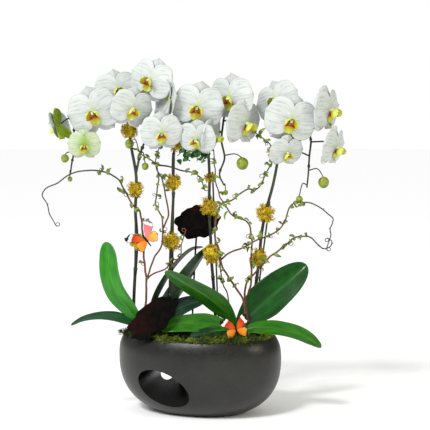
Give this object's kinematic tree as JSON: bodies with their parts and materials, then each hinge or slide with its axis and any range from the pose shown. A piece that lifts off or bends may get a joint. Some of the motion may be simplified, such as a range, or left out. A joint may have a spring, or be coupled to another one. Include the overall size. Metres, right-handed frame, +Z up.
{
  "type": "potted moth orchid",
  "caption": "Moth orchid arrangement: arching spikes of white flowers on stakes above strap leaves, moss, curly twigs and dried mushrooms, in an oval bowl with a tapering side opening.",
  "frame": {"origin": "centre of the bowl's flat foot, on the surface it stands on", "axes": "+Z up, the display side with the larger tunnel opening faces -Y, the long side of the bowl runs near X, its right end turned 20 degrees towards the front"},
  "size_m": [0.5974, 0.2488, 0.7077],
  "materials": {
    "bowl": "matte charcoal grey-brown with a faint speckle",
    "potting_mix": "dark bark chips",
    "green_moss": "fibrous dark green moss with yellow-green tips",
    "golden_moss": "crinkled golden yellow dried moss",
    "green_stem": "dark olive green stem, satin",
    "stake": "near-black, matte",
    "leaf": "glossy deep green with a paler midrib",
    "petal": "white, soft satin, with faint veins",
    "willow": "red-brown bark, matte",
    "dried_mushroom": "black-brown, rough and matte",
    "butterfly": "painted orange with dark veins and edges"
  },
  "bodies": {
    "root": {"bowl": "bowl", "butterfly_high": "butterfly", "butterfly_low": "butterfly", "crown_left": "green_stem", "crown_right": "green_stem", "flower_a1": "petal", "flower_a2": "petal", "flower_a3": "petal", "flower_a4": "petal", "flower_a5": "petal", "flower_a6": "petal", "flower_b1": "petal", "flower_b2": "petal", "flower_c1": "petal", "flower_c2": "petal", "flower_c3": "petal", "flower_c4": "petal", "flower_c5": "petal", "flower_d1": "petal", "flower_d2": "petal", "flower_d3": "petal", "flower_d4": "petal", "flower_d5": "petal", "leaf_left_back_narrow": "leaf", "leaf_left_back_wide": "leaf", "leaf_left_inner": "leaf", "leaf_left_low": "leaf", "leaf_left_upright": "leaf", "leaf_right_arching": "leaf", "leaf_right_front": "leaf", "leaf_right_low": "leaf", "leaf_right_tall": "leaf", "moss_bed": "green_moss", "moss_tuft_a_low": "golden_moss", "moss_tuft_a_middle": "golden_moss", "moss_tuft_a_top": "golden_moss", "moss_tuft_b_low": "golden_moss", "moss_tuft_b_middle": "golden_moss", "moss_tuft_b_top": "golden_moss", "moss_tuft_c_low": "golden_moss", "moss_tuft_c_middle": "golden_moss", "moss_tuft_c_top": "golden_moss", "moss_tuft_d_low": "golden_moss", "moss_tuft_d_middle": "golden_moss", "moss_tuft_d_top": "golden_moss", "mushroom_leaning": "dried_mushroom", "mushroom_upright": "dried_mushroom", "potting_mix": "potting_mix", "spike_a": "green_stem", "spike_b": "green_stem", "spike_c": "green_stem", "spike_d": "green_stem", "support_stake_a": "stake", "support_stake_b": "stake", "support_stake_c": "stake", "support_stake_d": "stake", "willow_centre": "willow", "willow_left": "willow", "willow_right": "willow", "willow_upright": "willow"}
  },
  "joints": []
}
